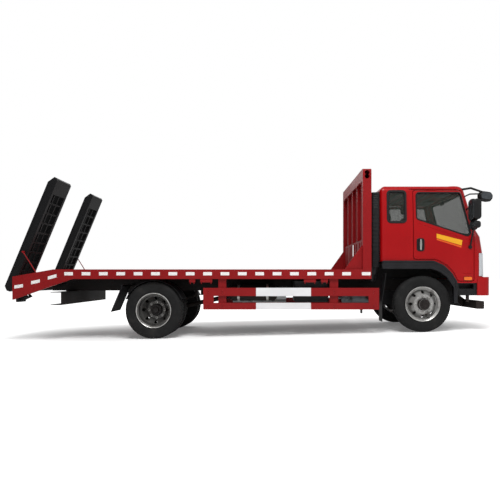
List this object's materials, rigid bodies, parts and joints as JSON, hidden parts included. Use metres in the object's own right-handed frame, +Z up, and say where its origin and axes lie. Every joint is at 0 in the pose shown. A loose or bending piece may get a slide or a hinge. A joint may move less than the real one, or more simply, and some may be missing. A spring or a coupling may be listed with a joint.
{
  "type": "flatbed tow truck",
  "caption": "Flatbed recovery truck with a fixed deck, sloping beavertail, two fold-down ramps, tall headboard and a tilting cab with opening doors.",
  "frame": {"origin": "middle of the truck's box at the ground", "axes": "+X towards the nose, +Y to the truck's left, +Z up"},
  "size_m": [8.6032, 2.78, 2.8702],
  "materials": {
    "red_paint": "gloss red body paint",
    "chassis_paint": "satin black chassis paint",
    "engine_grey": "rough casting",
    "tank_metal": "satin dark paint",
    "black_plastic": "grained moulded plastic",
    "deck_plate": "painted chequer plate",
    "lamp": "clear lens",
    "tyre_rubber": "worn rubber",
    "wheel_silver": "silver wheel paint",
    "window_glass": "lightly tinted",
    "seat_cloth": "woven"
  },
  "bodies": {
    "chassis": {"frame_rails": "chassis_paint", "front_axle_beam": "chassis_paint", "rear_axle_housing": "chassis_paint", "leaf_springs": "chassis_paint", "engine_block": "engine_grey", "drive_shaft": "chassis_paint", "fuel_tank": "tank_metal", "air_tanks": "chassis_paint", "battery_box": "black_plastic", "deck_beams": "chassis_paint", "deck_floor": "deck_plate", "deck_side_members": "red_paint", "beavertail_frame": "chassis_paint", "headboard_frame": "red_paint", "headboard_panel": "red_paint", "side_guards": "red_paint", "rear_underrun_bar": "chassis_paint", "tail_lamps": "lamp", "rear_mudguards": "black_plastic", "front_mudguards": "black_plastic", "front_underrun_bar": "chassis_paint", "air_intake": "black_plastic"},
    "cab": {"cab_shell": "red_paint", "cab_floor": "black_plastic", "windscreen": "window_glass", "cab_rear_glass": "window_glass", "wheel_arches": "black_plastic", "grille": "black_plastic", "bumper": "red_paint", "cab_steps": "black_plastic", "headlamps": "lamp", "seats": "seat_cloth", "dashboard": "black_plastic", "steering_wheel": "black_plastic", "nose_mirror": "black_plastic"},
    "door_right": {"door_right": "red_paint", "door_glass_right": "window_glass", "door_mirror_right": "black_plastic"},
    "knuckle_right": {"knuckle_right": "chassis_paint"},
    "front_wheel_right": {"front_tyre_right": "tyre_rubber", "front_rim_right": "wheel_silver"},
    "rear_wheels_right": {"rear_tyres_right": "tyre_rubber", "rear_rims_right": "wheel_silver"},
    "ramp_right": {"ramp_right": "chassis_paint"},
    "door_left": {"door_left": "red_paint", "door_glass_left": "window_glass", "door_mirror_left": "black_plastic"},
    "knuckle_left": {"knuckle_left": "chassis_paint"},
    "front_wheel_left": {"front_tyre_left": "tyre_rubber", "front_rim_left": "wheel_silver"},
    "rear_wheels_left": {"rear_tyres_left": "tyre_rubber", "rear_rims_left": "wheel_silver"},
    "ramp_left": {"ramp_left": "chassis_paint"}
  },
  "joints": [
    {"name": "cab_tilt", "type": "hinge", "parent": "chassis", "child": "cab", "pos_m": [4.06427, 0, 0.66651], "axis": [0, 1, 0], "range_deg": [0, 45]},
    {"name": "door_right_hinge", "type": "hinge", "parent": "cab", "child": "door_right", "pos_m": [3.90285, -1.114, 1.47047], "axis": [0.0232, 0, 0.9997], "range_deg": [0, 70]},
    {"name": "door_left_hinge", "type": "hinge", "parent": "cab", "child": "door_left", "pos_m": [3.90285, 1.114, 1.47047], "axis": [-0.0232, 0, -0.9997], "range_deg": [0, 70]},
    {"name": "steer_right", "type": "hinge", "parent": "chassis", "child": "knuckle_right", "pos_m": [3.00501, -0.86, 0.495], "axis": [0.0232, 0, 0.9997], "range_deg": [-35, 35]},
    {"name": "steer_left", "type": "hinge", "parent": "chassis", "child": "knuckle_left", "pos_m": [3.00501, 0.86, 0.495], "axis": [0.0232, 0, 0.9997], "range_deg": [-35, 35]},
    {"name": "front_right_spin", "type": "hinge", "parent": "knuckle_right", "child": "front_wheel_right", "pos_m": [3.00501, -1.005, 0.495], "axis": [0, 1, 0], "continuous": true},
    {"name": "front_left_spin", "type": "hinge", "parent": "knuckle_left", "child": "front_wheel_left", "pos_m": [3.00501, 1.005, 0.495], "axis": [0, 1, 0], "continuous": true},
    {"name": "rear_right_spin", "type": "hinge", "parent": "chassis", "child": "rear_wheels_right", "pos_m": [-1.70125, -0.917, 0.495], "axis": [0, 1, 0], "continuous": true},
    {"name": "rear_left_spin", "type": "hinge", "parent": "chassis", "child": "rear_wheels_left", "pos_m": [-1.70125, 0.917, 0.495], "axis": [0, 1, 0], "continuous": true},
    {"name": "ramp_right_fold", "type": "hinge", "parent": "chassis", "child": "ramp_right", "pos_m": [-4.1912, -0.875, 0.95779], "axis": [0, -1, 0], "range_deg": [0, 138]},
    {"name": "ramp_left_fold", "type": "hinge", "parent": "chassis", "child": "ramp_left", "pos_m": [-4.1912, 0.875, 0.95779], "axis": [0, -1, 0], "range_deg": [0, 138]}
  ],
  "couplings": [
    {"joint": "steer_left", "follows": "steer_right", "ratio": 1}
  ]
}
